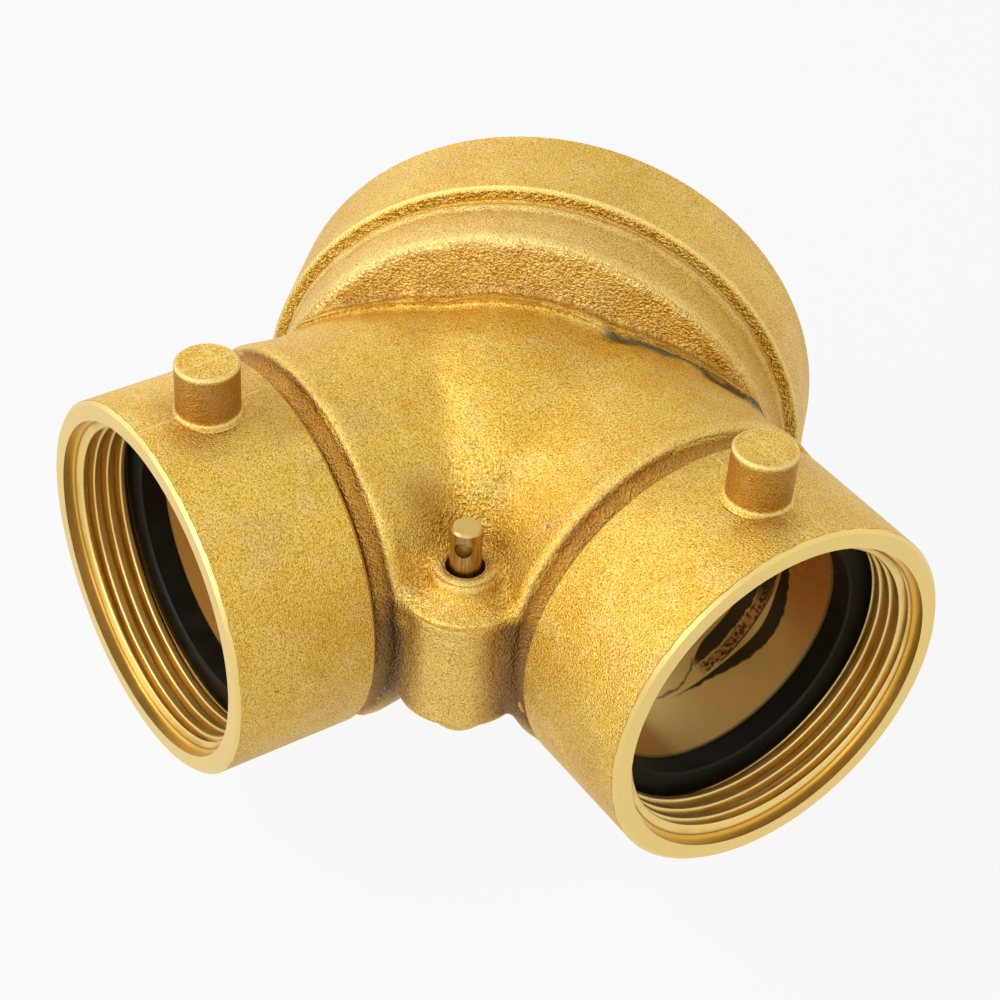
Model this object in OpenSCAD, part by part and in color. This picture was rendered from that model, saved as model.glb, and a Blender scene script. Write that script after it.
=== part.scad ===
// Two-way fire department connection: a cast brass breeching with one tapped
// outlet, two free-turning pin-lug hose swivels and a single swing clapper.
//
// Frame: the origin is the centre of the outlet's rear face, +Y points out of
// the outlet, the two inlets point towards -Y and +Z is up. Millimetres.
// "Reach" is a distance from the crossing point, where the axes of the outlet
// and of both inlet arms meet; "s" is a distance out along an inlet arm.

/* [Outlet hub] */
// Diameter of the rear ring of the hub
hub_d = 133; // [128:0.5:140]
// Length of the rear ring
hub_len = 23.9; // [20:0.1:28]
// Wall of the front ring outside the pipe thread
collar_wall = 6.4; // [5:0.1:7]
// Length of the front ring
collar_len = 15.8; // [12:0.1:19]
// Radius of the front ring's rounded edge
collar_round = 2.4; // [1.5:0.1:6]
// Break on the edges of the rear ring
hub_edge = 0.6; // [0.3:0.1:1.5]
// Diameter at the root of the pipe thread
pipe_thread_d = 112; // [108:0.2:114]
// Depth of the pipe thread
pipe_thread_depth = 33; // [28:0.5:34]
// Chamfer at the mouth of the pipe thread
pipe_chamfer = 0.4; // [0.2:0.1:0.8]
// Distance from the rear face to the crossing point
outlet_reach = 36.2; // [34:0.1:38]

/* [Bulb] */
// Distance from the crossing point forward to the chamber's centre
bulb_reach = 15; // [13:0.5:17]
// Wall of the chamber
bulb_wall = 5.3; // [4:0.1:6]
// Height of the bead where the arms and the chamber meet the hub
root_bead = 1.7; // [1:0.1:2.2]
// Width of that bead
root_bead_w = 4.6; // [3:0.1:6]

/* [Inlet arms] */
// Angle between each inlet arm and the front direction
inlet_angle = 45; // [44:0.5:48]
// Distance from the crossing point to the face of each swivel
inlet_reach = 102; // [100:0.5:110]
// Bore of each inlet waterway
waterway_d = 64; // [62:0.5:65]
// Wall of each arm round the clapper's chamber
arm_wall = 6; // [5:0.1:7]
// How far the bead at the end of each arm stands out
shoulder_bead = 0.9; // [0.4:0.1:1.2]
// Half width of that bead
shoulder_bead_r = 2.8; // [2:0.1:4]
// Length of the sloping neck between the bead and the swivel
neck_len = 6.4; // [5:0.1:8]
// How far the small end of the neck stands above the swivel's bearing
neck_step = 2.1; // [1:0.1:3]

/* [Swivels] */
// Least wall of each swivel, outside its ball race
swivel_wall = 3.55; // [3:0.05:5]
// Length of each swivel behind its ball race
swivel_skirt = 6; // [5:0.1:7]
// Diameter at the root of the hose thread
hose_thread_d = 78.4; // [77:0.1:79.5]
// Length of the hose thread
hose_thread_len = 13.5; // [11:0.1:16]
// How much wider the plain lip in front of the thread is, on the radius
lip_step = 0.7; // [0.4:0.1:1.2]
// Depth of that lip
lip_depth = 2.6; // [1.5:0.1:4]
// Outer edge break on the rim of each swivel
rim_break = 0.9; // [0.3:0.1:1.5]
// Diameter of each pin lug
lug_d = 14.4; // [12:0.2:16]
// Height of a lug above the swivel
lug_h = 12.35; // [9:0.05:15]
// Distance from the rim back to a lug's centre
lug_back = 18; // [16:0.5:20]
// Width of the fillet at the foot of a lug
lug_foot = 0.6; // [0.4:0.1:2]
// Angle that the left swivel's lugs rest at, outwards from upright
left_turn = 0; // [-180:0.5:180]
// Angle that the right swivel's lugs rest at, outwards from upright
right_turn = 2; // [-180:0.5:180]

/* [Ball races] */
// Wall of the fixed tail that each swivel turns on
tail_wall = 6.42; // [5.5:0.02:7]
// Running clearance between the tail and its swivel, on the radius
tail_clearance = 0.08; // [0.04:0.01:0.1]
// Diameter of the race balls
ball_d = 4.76; // [4:0.02:5]
// Clearance round each ball
ball_clearance = 0.05; // [0.03:0.01:0.08]
// Free space between one ball and the next
ball_spacing = 0.25; // [0.15:0.05:0.6]
// Distance from the tail's end back to the race
race_inset = 6.2; // [5:0.1:7]
// Diameter of the screw that closes the ball hole
race_screw_d = 6; // [5.5:0.1:6.5]
// How far the ball hole is turned round from the upper lug
race_screw_turn = 135; // [100:5:150]

/* [Gaskets] */
// How far each gasket reaches under the thread's end, on the radius
gasket_lap = 1.3; // [0.9:0.1:1.8]
// Free space round each gasket, on the radius
gasket_fit = 0.1; // [0.05:0.01:0.2]
// Width of each gasket, from its bore to its edge
gasket_w = 8; // [6:0.1:9]
// Thickness of each gasket
gasket_t = 6.4; // [4:0.1:7.5]
// Chamfer on a gasket's edges
gasket_chamfer = 0.5; // [0.2:0.1:0.8]

/* [Hinge] */
// Distance from the crossing point to the hinge pin
hinge_reach = 66; // [65:0.5:68]
// Height of the middle of the hinge boss
hinge_mid = -2.5; // [-4:0.5:-1]
// Diameter of the hinge boss
boss_d = 28.8; // [28:0.2:31]
// Height of the hinge boss
boss_h = 29; // [28:0.5:32]
// Height of the pocket inside the boss
pocket_h = 16; // [14:0.5:17]
// Diameter of the round end of that pocket
pocket_d = 17.4; // [16.8:0.1:18]
// How far the boss's top rises from its edge to the pad
roof_rise = 2.2; // [0.5:0.1:3]
// Diameter at the foot of the pad on top of the boss
pad_d = 16.8; // [15:0.2:18]
// Diameter at the top of that pad
pad_top_d = 14.6; // [13:0.2:15]
// Height of that pad
pad_h = 3.8; // [2:0.1:4.5]
// Diameter of the pad below the boss, which holds the pin's lower end
foot_d = 12.8; // [11.6:0.2:17]
// Height of that lower pad
foot_h = 9.4; // [4:0.1:11]
// Diameter of the hinge pin
pin_d = 7.1; // [6:0.05:7.4]
// Height of the hinge pin's top end
pin_top = 29; // [27:0.5:34]
// Depth of the pin's seat below the pocket
pin_seat = 8; // [5:0.1:9]
// Diameter of the clearance hole through the top of the boss
pin_hole_d = 9; // [8.4:0.1:9.4]
// Diameter of the cross hole in the hinge pin
cross_hole_d = 4; // [2:0.1:4.2]
// Distance from the pin's top end to its cross hole
cross_hole_drop = 4.2; // [3.4:0.1:7]

/* [Clapper] */
// How far the clapper disc laps over its seat's bore
clapper_lap = 3; // [2.5:0.1:3.4]
// Clearance between the disc's edge and the chamber's wall
clapper_clearance = 3; // [2.4:0.1:3.6]
// Thickness of the clapper disc
clapper_t = 6; // [5:0.1:6.6]
// Thickness of each rubber facing
facing_t = 3; // [2.5:0.1:3.4]
// Gap between a closed facing and its seat
seat_gap = 0.1; // [0.05:0.01:0.3]
// Width of the seat's raised face
seat_w = 4; // [3:0.1:4.6]
// Height of the seat's raised face
seat_h = 2; // [1:0.1:3]
// Diameter of the hinge knuckle
knuckle_d = 14; // [13:0.1:14.6]
// Free space at each end of the knuckle
knuckle_play = 0.5; // [0.3:0.1:1]
// Running clearance round the pin in the knuckle, on the radius
pin_clearance = 0.08; // [0.04:0.01:0.1]
// Diameter of the plates that hold the facings
plate_d = 52; // [48:0.5:56]
// Thickness of those plates
plate_t = 2.5; // [2:0.1:3.5]
// Diameter of the clapper bolt
bolt_d = 8; // [6:0.5:9]
// Clearance round the bolt, on the radius
bolt_clearance = 0.1; // [0.05:0.01:0.3]
// Width across flats of the bolt's head and nut
bolt_flats = 13; // [12:0.5:14]
// Height of the bolt's head
bolt_head_h = 5.3; // [4:0.1:6]
// Height of the nut
nut_h = 6; // [5:0.1:7]
// Thickness of the washer under the nut
washer_t = 1.6; // [1:0.1:2]

/* [Hidden] */
$fn = 64;

LEFT = -1;
RIGHT = 1;
BRASS = [0.80, 0.62, 0.27];
CAST_BRASS = [0.76, 0.58, 0.24];
PALE_BRASS = [0.86, 0.70, 0.38];
DARK_BRASS = [0.58, 0.42, 0.20];
RUBBER = [0.10, 0.10, 0.10];
STEEL = [0.72, 0.72, 0.70];

// Cuts run this far past the faces that they open
over = 1;

// Places along an inlet arm, from its face back to the shoulder
gasket_front = inlet_reach - lip_depth - hose_thread_len;
gasket_rear = gasket_front - gasket_t;
gasket_seat_gap = 0.1;
tail_end = gasket_rear - gasket_seat_gap;
race_s = tail_end - race_inset;
swivel_rear = race_s - swivel_skirt;
neck_gap = 0.8;
neck_end = swivel_rear - neck_gap;
shoulder_s = neck_end - neck_len;
lug_s = inlet_reach - lug_back;

// The tail, the swivel's rear bore and the circle that the balls run on
tail_d = waterway_d + 2 * tail_wall;
neck_d = tail_d + 2 * neck_step;
swivel_bore_d = tail_d + 2 * tail_clearance;
race_r = (tail_d + tail_clearance) / 2;
race_groove_r = ball_d / 2 + ball_clearance;
ball_count = floor(180 / asin((ball_d + ball_spacing) / (2 * race_r)));

// The hose gasket, the groove it sits in, and the swivel round them all
gasket_d = hose_thread_d + 2 * gasket_lap;
gasket_bore = gasket_d - 2 * gasket_w;
gasket_groove_d = gasket_d + 2 * gasket_fit;
lip_d = hose_thread_d + 2 * lip_step;
swivel_d = max(2 * (race_r + race_groove_r), gasket_groove_d, lip_d) + 2 * swivel_wall;

// Hinge, in the arm's own directions: along it and across it
hinge_s = hinge_reach * cos(inlet_angle);
hinge_e = hinge_reach * sin(inlet_angle);

// The chamber's inside follows the clapper: closed in an arm, and at mid-swing
clapper_d = waterway_d + 2 * clapper_lap;
arm_core_d = clapper_d + 2 * clapper_clearance;
arm_d = arm_core_d + 2 * arm_wall;
mid_swing_off = abs(hinge_reach - hinge_e - bulb_reach);
bulb_core_d = arm_core_d + 2 * mid_swing_off;
bulb_d = bulb_core_d + 2 * bulb_wall;

// Hub
collar_d = pipe_thread_d + 2 * collar_wall;
hub_depth = hub_len + collar_len;
throat_start = pipe_thread_depth - over;

// Hinge heights
pocket_floor = hinge_mid - pocket_h / 2;
pocket_roof = hinge_mid + pocket_h / 2;
boss_floor = hinge_mid - boss_h / 2;
boss_roof = hinge_mid + boss_h / 2;
pad_foot = boss_roof + roof_rise;
pad_top = pad_foot + pad_h;
pin_bottom = pocket_floor - pin_seat;

// Clapper stack, outwards from the middle of its disc
facing_out = clapper_t / 2 + facing_t;
plate_out = facing_out + plate_t;
seat_s = hinge_s + facing_out + seat_gap;
facing_trim = 0.3;
bolt_hole_d = bolt_d + 2 * bolt_clearance;
facing_d = clapper_d - 2 * facing_trim;
knuckle_h = pocket_h - 2 * knuckle_play;
neck_h = knuckle_h - 1;
neck_clearance = 0.7;

// The seal that closes the hinge pin's hole, in a counterbore of the pocket's roof
seal_t = 2.6;
seal_d = pin_d + 2 * seal_t;
seal_step = 0.2;

// Puts its children's +Z out along an inlet arm, with their +Y up
module along_arm(side) {
    translate([0, -outlet_reach, 0])
        rotate([0, 0, side * inlet_angle])
            rotate([90, 0, 0]) children();
}

// Puts its children's +Z forward from the outlet's rear face
module from_outlet() {
    rotate([90, 0, 0]) children();
}

// Moves its children's origin to the hinge pin's axis
module at_hinge() {
    translate([0, -outlet_reach - hinge_reach, 0]) children();
}

// A ring from a half section: radius r1 to r2, from z1 to z2
module ring(r1, r2, z1, z2) {
    rotate_extrude() translate([r1, z1]) square([r2 - r1, z2 - z1]);
}

// ---- Body casting -----------------------------------------------------------

// Two stepped rings with a rounded front edge, and the small bead between them
module hub() {
    step_bead = 1.1;
    bead_sink = 0.4;
    step_cove = 1.1;
    from_outlet() {
        rotate_extrude() polygon([
            [0, 0],
            [hub_d / 2 - hub_edge, 0],
            [hub_d / 2, hub_edge],
            [hub_d / 2, hub_len - hub_edge],
            [hub_d / 2 - hub_edge, hub_len],
            [collar_d / 2 + step_cove, hub_len],
            [collar_d / 2, hub_len + step_cove],
            [collar_d / 2, hub_depth - collar_round],
            [0, hub_depth - collar_round]
        ]);
        cylinder(r = collar_d / 2 - collar_round, h = hub_depth);
        rotate_extrude() {
            translate([collar_d / 2 - collar_round, hub_depth - collar_round])
                circle(r = collar_round);
            translate([collar_d / 2 - bead_sink, hub_len + step_cove + step_bead])
                circle(r = step_bead);
        }
    }
}

// The round chamber
module bulb() {
    translate([0, -outlet_reach - bulb_reach, 0]) sphere(d = bulb_d);
}

// One arm: a plain pipe that ends in a bead, a sloping neck and the ball-race tail
module arm(side) {
    tail_chamfer = 0.8;
    neck_edge = 0.8;
    along_arm(side) {
        rotate_extrude() polygon([
            [0, 0],
            [arm_d / 2, 0],
            [arm_d / 2, shoulder_s],
            [neck_d / 2, neck_end - neck_edge],
            [neck_d / 2 - neck_edge, neck_end],
            [tail_d / 2, neck_end],
            [tail_d / 2, tail_end - tail_chamfer],
            [tail_d / 2 - tail_chamfer, tail_end],
            [0, tail_end]
        ]);
        rotate_extrude()
            translate([arm_d / 2 + shoulder_bead - shoulder_bead_r, shoulder_s])
                circle(r = shoulder_bead_r);
    }
}

// The bead where the chamber and arms grow out of the hub's front face
module root_band() {
    intersection() {
        from_outlet() translate([0, 0, hub_depth - over])
            cylinder(d = collar_d, h = root_bead_w + over);
        union() {
            for (side = [LEFT, RIGHT])
                along_arm(side) cylinder(r = arm_d / 2 + root_bead, h = inlet_reach / 2);
            translate([0, -outlet_reach - bulb_reach, 0])
                sphere(d = bulb_d + 2 * root_bead);
        }
    }
}

// The upright boss in the crotch that holds the hinge pin
module hinge_boss() {
    foot_edge = 1;
    at_hinge() {
        rotate_extrude() polygon([
            [0, boss_floor - foot_h],
            [foot_d / 2 - foot_edge, boss_floor - foot_h],
            [foot_d / 2, boss_floor - foot_h + foot_edge],
            [foot_d / 2, boss_floor],
            [boss_d / 2, boss_floor],
            [boss_d / 2, boss_roof],
            [pad_d / 2, pad_foot],
            [pad_top_d / 2, pad_top],
            [0, pad_top]
        ]);
        // The web that joins the boss to the arms behind it
        translate([-boss_d / 2, 0, boss_floor])
            cube([boss_d, hinge_reach - bulb_reach - bulb_d / 2 + boss_d / 3, boss_h]);
    }
}

// Everything that water, the clapper or the pin passes through
module waterways() {
    funnel_flare = 6;
    funnel_len = 6;
    from_outlet() {
        translate([0, 0, -over])
            cylinder(d = pipe_thread_d, h = pipe_thread_depth + over);
        translate([0, 0, -over])
            cylinder(d1 = pipe_thread_d + 2 * (pipe_chamfer + over),
                     d2 = pipe_thread_d, h = pipe_chamfer + over);
        // A funnel from the thread's end to the chamber
        translate([0, 0, pipe_thread_depth])
            cylinder(d1 = bulb_core_d + 2 * funnel_flare, d2 = bulb_core_d, h = funnel_len);
        translate([0, 0, throat_start])
            cylinder(d = bulb_core_d, h = outlet_reach + bulb_reach - throat_start);
    }
    translate([0, -outlet_reach - bulb_reach, 0]) sphere(d = bulb_core_d);
    for (side = [LEFT, RIGHT]) along_arm(side) {
        cylinder(d = arm_core_d, h = seat_s);
        cylinder(d = waterway_d, h = tail_end + over);
        // The relief that leaves the seat's face standing
        ring(waterway_d / 2 + seat_w, arm_core_d / 2, seat_s - over, seat_s + seat_h);
    }
}

// The pocket that the clapper's knuckle turns in, wide enough for its neck
module hinge_pocket() {
    neck_half = clapper_t / 2 + neck_clearance;
    reach = hinge_e / 2;
    at_hinge() translate([0, 0, pocket_floor]) {
        cylinder(d = pocket_d, h = pocket_h);
        linear_extrude(pocket_h) polygon([
            [-neck_half * sin(inlet_angle), -neck_half * cos(inlet_angle)],
            [neck_half * sin(inlet_angle), -neck_half * cos(inlet_angle)],
            [neck_half * sin(inlet_angle) + reach * cos(inlet_angle),
             -neck_half * cos(inlet_angle) + reach * sin(inlet_angle)],
            [-neck_half * sin(inlet_angle) - reach * cos(inlet_angle),
             -neck_half * cos(inlet_angle) + reach * sin(inlet_angle)]
        ]);
    }
}

// The pin's seat, its clearance hole and the counterbore of its seal
module pin_holes() {
    at_hinge() {
        translate([0, 0, pin_bottom]) cylinder(d = pin_d, h = pin_seat + over);
        translate([0, 0, pocket_roof - over])
            cylinder(d = pin_hole_d, h = pin_top - pocket_roof + 2 * over);
        translate([0, 0, pocket_roof - over])
            cylinder(d = seal_d + 2 * seal_step, h = seal_t + over);
    }
}

module body() color(CAST_BRASS) difference() {
    union() {
        hub();
        bulb();
        arm(LEFT);
        arm(RIGHT);
        root_band();
        hinge_boss();
    }
    waterways();
    hinge_pocket();
    pin_holes();
    for (side = [LEFT, RIGHT]) along_arm(side)
        rotate_extrude() translate([race_r, race_s]) circle(r = race_groove_r);
}

// ---- Swivels ----------------------------------------------------------------

// A straight pin with a broken top edge and a sloping foot
module pin_lug() {
    top_break = 0.5;
    translate([0, 0, lug_s]) rotate([-90, 0, 0]) {
        rotate_extrude() polygon([
            [0, 0],
            [lug_d / 2, 0],
            [lug_d / 2, swivel_d / 2 + lug_h - top_break],
            [lug_d / 2 - top_break, swivel_d / 2 + lug_h],
            [0, swivel_d / 2 + lug_h]
        ]);
        translate([0, 0, swivel_d / 2 - lug_foot])
            cylinder(d1 = lug_d + 4 * lug_foot, d2 = lug_d, h = 2 * lug_foot);
    }
}

// Turns what rides on a swivel to the angle that the swivel rests at
module at_rest(side) {
    rotate([0, 0, -side * (side == LEFT ? left_turn : right_turn)]) children();
}

// Puts its children's +Z out through the ball hole, from the arm's axis
module at_race_hole(side) {
    rotate([0, 0, side * race_screw_turn]) translate([0, 0, race_s])
        rotate([-90, 0, 0]) children();
}

module swivel(side) color(BRASS) along_arm(side) at_rest(side) difference() {
    union() {
        rotate_extrude() polygon([
            [0, swivel_rear],
            [swivel_d / 2 - rim_break, swivel_rear],
            [swivel_d / 2, swivel_rear + rim_break],
            [swivel_d / 2, inlet_reach - rim_break],
            [swivel_d / 2 - rim_break, inlet_reach],
            [0, inlet_reach]
        ]);
        pin_lug();
        mirror([0, 1, 0]) pin_lug();
    }
    translate([0, 0, swivel_rear - over])
        cylinder(d = swivel_bore_d, h = gasket_rear - swivel_rear + over);
    translate([0, 0, gasket_rear])
        cylinder(d = gasket_groove_d, h = gasket_t);
    translate([0, 0, gasket_rear])
        cylinder(d = hose_thread_d, h = inlet_reach);
    translate([0, 0, inlet_reach - lip_depth])
        cylinder(d = lip_d, h = lip_depth + over);
    rotate_extrude() translate([race_r, race_s]) circle(r = race_groove_r);
    at_race_hole(side) cylinder(d = race_screw_d, h = swivel_d / 2 + over);
}

// Hose gasket: a flat ring of square section with its edges taken off
module gasket(side) color(RUBBER) along_arm(side) rotate_extrude() polygon([
    [gasket_bore / 2, gasket_rear + gasket_chamfer],
    [gasket_bore / 2 + gasket_chamfer, gasket_rear],
    [gasket_d / 2 - gasket_chamfer, gasket_rear],
    [gasket_d / 2, gasket_rear + gasket_chamfer],
    [gasket_d / 2, gasket_front - gasket_chamfer],
    [gasket_d / 2 - gasket_chamfer, gasket_front],
    [gasket_bore / 2 + gasket_chamfer, gasket_front],
    [gasket_bore / 2, gasket_front - gasket_chamfer]
]);

// The balls that hold a swivel on its tail
module race_balls(side) color(STEEL) along_arm(side)
    for (i = [0 : ball_count - 1])
        rotate([0, 0, i * 360 / ball_count]) translate([race_r, 0, race_s])
            sphere(d = ball_d, $fn = 16);

// Slotted plug that closes the ball hole, a little below the swivel's surface
module race_screw(side) color(BRASS) along_arm(side) at_rest(side) {
    screw_sink = 0.6;
    slot_w = 1;
    slot_h = 1.2;
    screw_fit = 0.05;
    foot = race_r + race_groove_r + 2 * screw_fit;
    top = swivel_d / 2 - screw_sink;
    at_race_hole(side) difference() {
        translate([0, 0, foot])
            cylinder(d = race_screw_d - 2 * screw_fit, h = top - foot);
        translate([-race_screw_d, -slot_w / 2, top - slot_h])
            cube([2 * race_screw_d, slot_w, slot_h + over]);
    }
}

// ---- Hinge ------------------------------------------------------------------

// Straight pin with a broken top edge and a cross hole near its top
module hinge_pin() color(DARK_BRASS) {
    tip = 0.5;
    at_hinge() difference() {
        union() {
            translate([0, 0, pin_bottom])
                cylinder(d = pin_d, h = pin_top - tip - pin_bottom);
            translate([0, 0, pin_top - tip])
                cylinder(d1 = pin_d, d2 = pin_d - 2 * tip, h = tip);
        }
        translate([0, 0, pin_top - cross_hole_drop])
            rotate([90, 0, 0]) cylinder(d = cross_hole_d, h = 2 * pin_d, center = true);
    }
}

// Ring of round section that seals the pin below its clearance hole
module pin_seal() color(RUBBER) at_hinge()
    translate([0, 0, pocket_roof + seal_t / 2])
        rotate_extrude() translate([pin_d / 2 + seal_t / 2, 0])
            circle(r = seal_t / 2 - 0.02);

// ---- Clapper ----------------------------------------------------------------
// Drawn with the hinge at the origin, the disc's centre out along +X and the
// left inlet's side on +Y, then turned to rest closed on the left seat.

module at_clapper() {
    at_hinge() rotate([0, 0, 180 - inlet_angle]) children();
}

// Puts its children's +Z out of one face of the disc, from its middle
module off_disc(side) {
    translate([hinge_e, 0, 0]) rotate([side * 90, 0, 0]) children();
}

module clapper() color(CAST_BRASS) at_clapper() difference() {
    union() {
        off_disc(LEFT) translate([0, 0, -clapper_t / 2]) cylinder(d = clapper_d, h = clapper_t);
        translate([0, 0, hinge_mid - knuckle_h / 2]) cylinder(d = knuckle_d, h = knuckle_h);
        translate([0, -clapper_t / 2, hinge_mid - neck_h / 2])
            cube([hinge_e - clapper_d / 4, clapper_t, neck_h]);
    }
    translate([0, 0, hinge_mid - knuckle_h])
        cylinder(d = pin_d + 2 * pin_clearance, h = 2 * knuckle_h);
    off_disc(LEFT) translate([0, 0, -clapper_t])
        cylinder(d = bolt_hole_d, h = 2 * clapper_t);
}

// Flat rubber disc with a hole for the bolt
module facing(side) color(RUBBER) at_clapper() off_disc(side)
    ring(bolt_hole_d / 2, facing_d / 2, clapper_t / 2, facing_out);

// Round plate that clamps the facing
module facing_plate(side) color(PALE_BRASS) at_clapper() off_disc(side) {
    plate_edge = 0.8;
    rotate_extrude() polygon([
        [bolt_hole_d / 2, facing_out],
        [plate_d / 2, facing_out],
        [plate_d / 2, plate_out - plate_edge],
        [plate_d / 2 - plate_edge, plate_out],
        [bolt_hole_d / 2, plate_out]
    ]);
}

// Hexagon bolt, head on the left, through both plates
module clapper_bolt() color(BRASS) at_clapper() off_disc(LEFT) {
    bolt_tail = plate_out + washer_t + nut_h + 1;
    translate([0, 0, plate_out]) cylinder(d = bolt_flats / cos(30), h = bolt_head_h, $fn = 6);
    translate([0, 0, -bolt_tail]) cylinder(d = bolt_d, h = bolt_tail + plate_out + bolt_head_h / 2);
}

module clapper_washer() color(PALE_BRASS) at_clapper() off_disc(RIGHT) {
    washer_rim = 1.5;
    ring(bolt_hole_d / 2, bolt_flats / 2 + washer_rim, plate_out, plate_out + washer_t);
}

module clapper_nut() color(BRASS) at_clapper() off_disc(RIGHT) difference() {
    translate([0, 0, plate_out + washer_t])
        cylinder(d = bolt_flats / cos(30), h = nut_h, $fn = 6);
    translate([0, 0, plate_out]) cylinder(d = bolt_hole_d, h = 2 * nut_h);
}

// ---- Nodes ------------------------------------------------------------------

body();
swivel(LEFT);  // left_swivel
swivel(RIGHT);  // right_swivel
gasket(LEFT);  // left_gasket
gasket(RIGHT);  // right_gasket
race_balls(LEFT);  // left_race_balls
race_balls(RIGHT);  // right_race_balls
race_screw(LEFT);  // left_race_screw
race_screw(RIGHT);  // right_race_screw
hinge_pin();
pin_seal();
clapper();
facing(LEFT);  // left_facing
facing(RIGHT);  // right_facing
facing_plate(LEFT);  // left_facing_plate
facing_plate(RIGHT);  // right_facing_plate
clapper_bolt();
clapper_washer();
clapper_nut();
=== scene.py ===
"""A two-way fire department connection in cast and turned brass, dressed for the studio.

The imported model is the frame: origin at the centre of the outlet's rear face,
+Y out of the outlet, the two inlets towards -Y, +Z up, metres. Inside the
surface formulas lengths are in millimetres, and MM brings them to metres.
"""

import bpy
import numpy as np
from mathutils import Matrix, Vector


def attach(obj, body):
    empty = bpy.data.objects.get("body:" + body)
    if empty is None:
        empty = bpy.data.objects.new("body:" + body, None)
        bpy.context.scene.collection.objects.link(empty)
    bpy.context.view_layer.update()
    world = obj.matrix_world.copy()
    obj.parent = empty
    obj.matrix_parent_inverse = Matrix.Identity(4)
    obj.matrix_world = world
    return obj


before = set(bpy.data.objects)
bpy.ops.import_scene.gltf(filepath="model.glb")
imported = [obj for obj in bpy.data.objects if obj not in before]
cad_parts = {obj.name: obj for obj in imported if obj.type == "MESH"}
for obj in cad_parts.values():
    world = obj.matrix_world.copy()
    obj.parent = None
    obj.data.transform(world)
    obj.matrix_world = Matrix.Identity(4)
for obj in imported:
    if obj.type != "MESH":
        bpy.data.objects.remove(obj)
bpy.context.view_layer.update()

# ---- Camera -----------------------------------------------------------------
# A 90 mm lens about 0.6 m away, looking down between the two inlets, a little
# from the right and with a slight roll.


def direction(azimuth, elevation):
    """Unit vector towards a place round the part: azimuth 0 is in front of the
    inlets (-Y) and turns towards +X, elevation is up from level, both radians."""
    return Vector((np.sin(azimuth) * np.cos(elevation), -np.cos(azimuth) * np.cos(elevation), np.sin(elevation)))


azimuth, elevation, roll = np.radians([9.38, 39.0, 3.45])
aim = Vector((0.0, -0.0610, 0.0039))
away = 0.5857
back = direction(azimuth, elevation)
level = (-back).cross(Vector((0, 0, 1))).normalized()
upright = level.cross(-back)
right = level * np.cos(roll) + upright * np.sin(roll)
up = upright * np.cos(roll) - level * np.sin(roll)
lens = bpy.data.cameras.new("camera")
lens.lens = 90
lens.sensor_width = 36
lens.clip_start = 0.01
camera = bpy.data.objects.new("camera", lens)
stand = aim + back * away
camera.matrix_world = Matrix((
    (right.x, up.x, back.x, stand.x),
    (right.y, up.y, back.y, stand.y),
    (right.z, up.z, back.z, stand.z),
    (0, 0, 0, 1),
))
bpy.context.scene.collection.objects.link(camera)
bpy.context.scene.camera = camera

# ---- Body casting -----------------------------------------------------------
# The breeching is one sand casting in brass: a stepped hub, a round chamber and
# two arms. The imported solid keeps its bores, seats and tails, and this skin lies
# a fraction of a millimetre over its front, with the fillets that a casting has.

MM = 0.001
CROSSING = 36.2  # distance from the hub's rear face to where the axes meet
SLANT = np.sqrt(0.5)  # sine and cosine of the arms' 45 degrees


def join(a, b, k):
    """Two distance fields joined with a fillet: where they lie within k of each
    other the smaller one is lowered by a parabola of depth k / 4."""
    h = np.clip(0.5 + 0.5 * (b - a) / k, 0, 1)
    return b + (a - b) * h - k * h * (1 - h)


def rounded(u, v, edge):
    """A convex corner of radius edge between the half spaces u < 0 and v < 0."""
    u, v = u + edge, v + edge
    return np.hypot(np.maximum(u, 0), np.maximum(v, 0)) + np.minimum(np.maximum(u, v), 0) - edge


def sand_relief(shape, cell, sizes, seed):
    """The unevenness of a sand mould: white noise smoothed by a Gaussian of each
    size in millimetres, in the frequency domain, and added by weight."""
    rng = np.random.default_rng(seed)
    spectrum = np.fft.rfftn(rng.standard_normal(shape).astype(np.float32))
    fx, fy, fz = (np.fft.fftfreq(shape[0]), np.fft.fftfreq(shape[1]), np.fft.rfftfreq(shape[2]))
    f2 = fx[:, None, None] ** 2 + fy[None, :, None] ** 2 + fz[None, None, :] ** 2
    total = np.zeros(shape, np.float32)
    for size, weight in sizes:
        part = np.fft.irfftn(spectrum * np.exp(-2 * (np.pi * size / cell) ** 2 * f2), s=shape, axes=(0, 1, 2))
        total += (weight * part / part.std()).astype(np.float32)
    return total


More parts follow.
